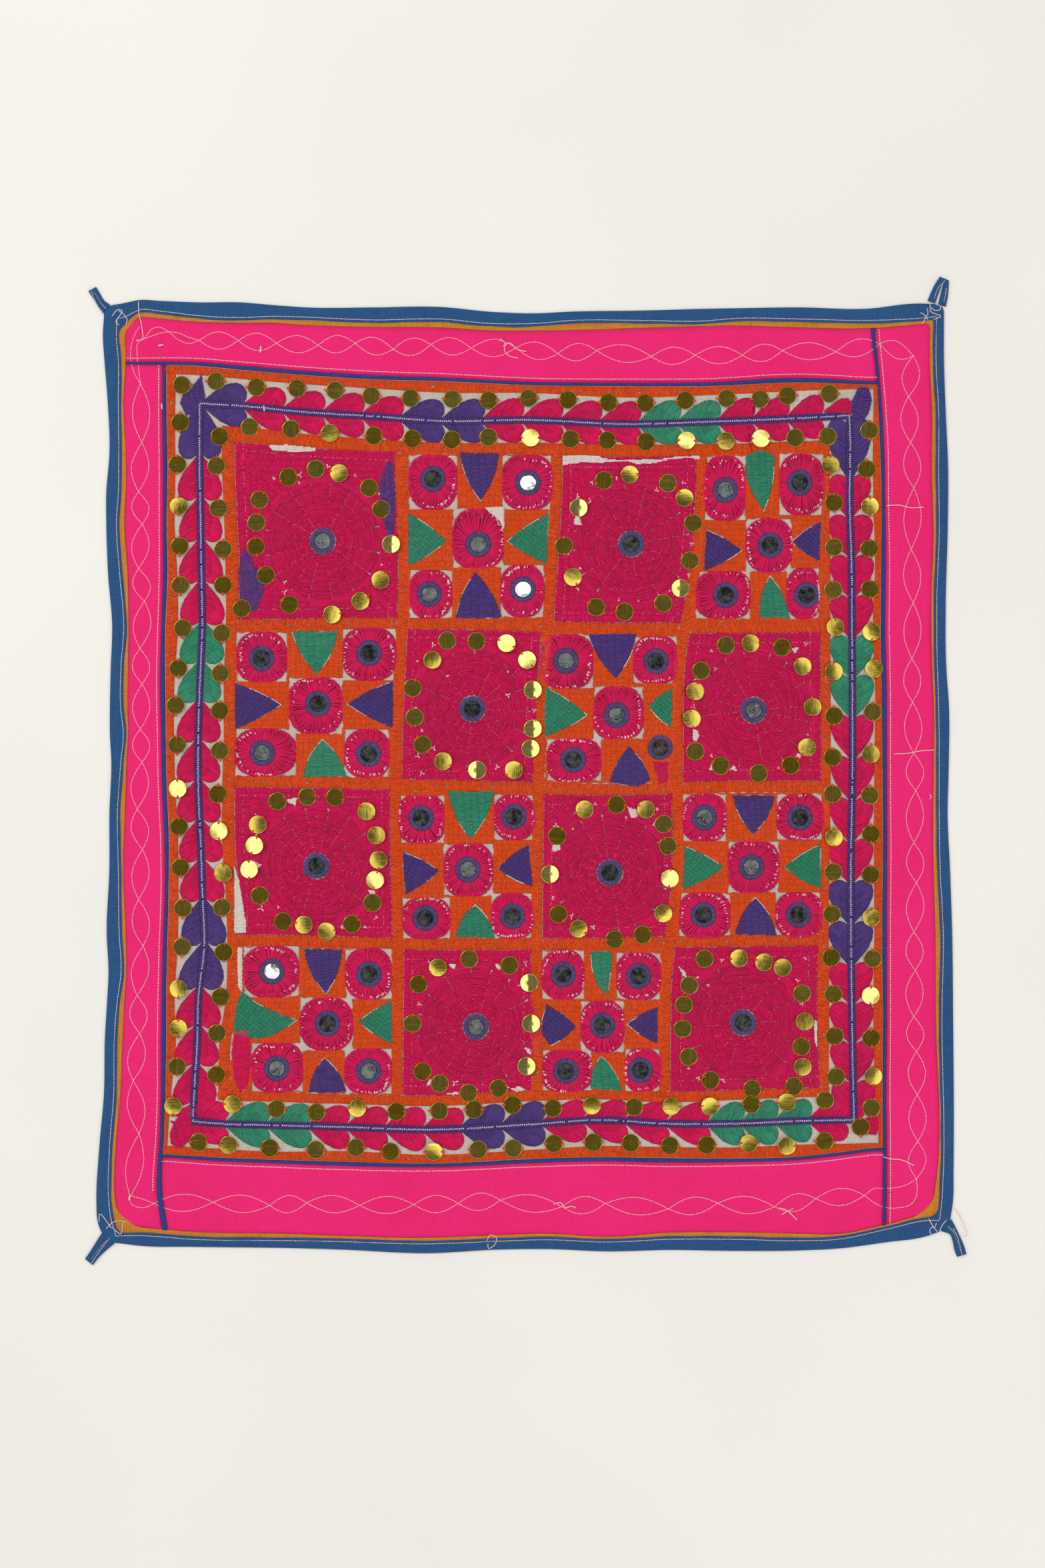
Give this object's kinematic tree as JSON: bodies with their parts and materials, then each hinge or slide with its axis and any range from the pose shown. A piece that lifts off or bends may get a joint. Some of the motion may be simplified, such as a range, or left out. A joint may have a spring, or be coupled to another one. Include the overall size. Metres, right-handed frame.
{
  "type": "mirror work wall hanging",
  "caption": "A mirror work wall hanging: an embroidered panel with round glass mirrors, framed by pink strips, piping, an ochre trim and a blue binding, with a hanging loop at each corner.",
  "frame": {"origin": "middle of the flat back, at the surface that the hanging lies on", "axes": "+X to the right of the face, +Y to its top, +Z out of the face"},
  "size_m": [0.965, 1.0822, 0.0034],
  "materials": {
    "embroidery": "satin stitch in orange, pink, purple and green cotton over off-white cloth",
    "border_cloth": "plain woven cotton, hot pink",
    "piping_cloth": "narrow rolled cotton, indigo",
    "trim_cloth": "plain woven cotton, ochre",
    "binding_cloth": "plain woven cotton, blue, machine stitched",
    "mirror_glass": "thin silvered glass, clouded and spotted"
  },
  "bodies": {
    "root": {"panel": "embroidery", "border_top": "border_cloth", "border_right": "border_cloth", "border_bottom": "border_cloth", "border_left": "border_cloth", "piping": "piping_cloth", "trim": "trim_cloth", "binding": "binding_cloth", "loop_top_left": "binding_cloth", "loop_top_right": "binding_cloth", "loop_bottom_left": "binding_cloth", "loop_bottom_right": "binding_cloth", "mirror_r1c1": "mirror_glass", "mirror_r1c3": "mirror_glass", "mirror_r2c2": "mirror_glass", "mirror_r2c4": "mirror_glass", "mirror_r3c1": "mirror_glass", "mirror_r3c3": "mirror_glass", "mirror_r4c2": "mirror_glass", "mirror_r4c4": "mirror_glass", "mirror_r1c2_tl": "mirror_glass", "mirror_r1c2_tr": "mirror_glass", "mirror_r1c2_mid": "mirror_glass", "mirror_r1c2_bl": "mirror_glass", "mirror_r1c2_br": "mirror_glass", "mirror_r1c4_tl": "mirror_glass", "mirror_r1c4_tr": "mirror_glass", "mirror_r1c4_mid": "mirror_glass", "mirror_r1c4_bl": "mirror_glass", "mirror_r1c4_br": "mirror_glass", "mirror_r2c1_tl": "mirror_glass", "mirror_r2c1_tr": "mirror_glass", "mirror_r2c1_mid": "mirror_glass", "mirror_r2c1_bl": "mirror_glass", "mirror_r2c1_br": "mirror_glass", "mirror_r2c3_tl": "mirror_glass", "mirror_r2c3_tr": "mirror_glass", "mirror_r2c3_mid": "mirror_glass", "mirror_r2c3_bl": "mirror_glass", "mirror_r2c3_br": "mirror_glass", "mirror_r3c2_tl": "mirror_glass", "mirror_r3c2_tr": "mirror_glass", "mirror_r3c2_mid": "mirror_glass", "mirror_r3c2_bl": "mirror_glass", "mirror_r3c2_br": "mirror_glass", "mirror_r3c4_tl": "mirror_glass", "mirror_r3c4_tr": "mirror_glass", "mirror_r3c4_mid": "mirror_glass", "mirror_r3c4_bl": "mirror_glass", "mirror_r3c4_br": "mirror_glass", "mirror_r4c1_tl": "mirror_glass", "mirror_r4c1_tr": "mirror_glass", "mirror_r4c1_mid": "mirror_glass", "mirror_r4c1_bl": "mirror_glass", "mirror_r4c1_br": "mirror_glass", "mirror_r4c3_tl": "mirror_glass", "mirror_r4c3_tr": "mirror_glass", "mirror_r4c3_mid": "mirror_glass", "mirror_r4c3_bl": "mirror_glass", "mirror_r4c3_br": "mirror_glass"}
  },
  "joints": []
}
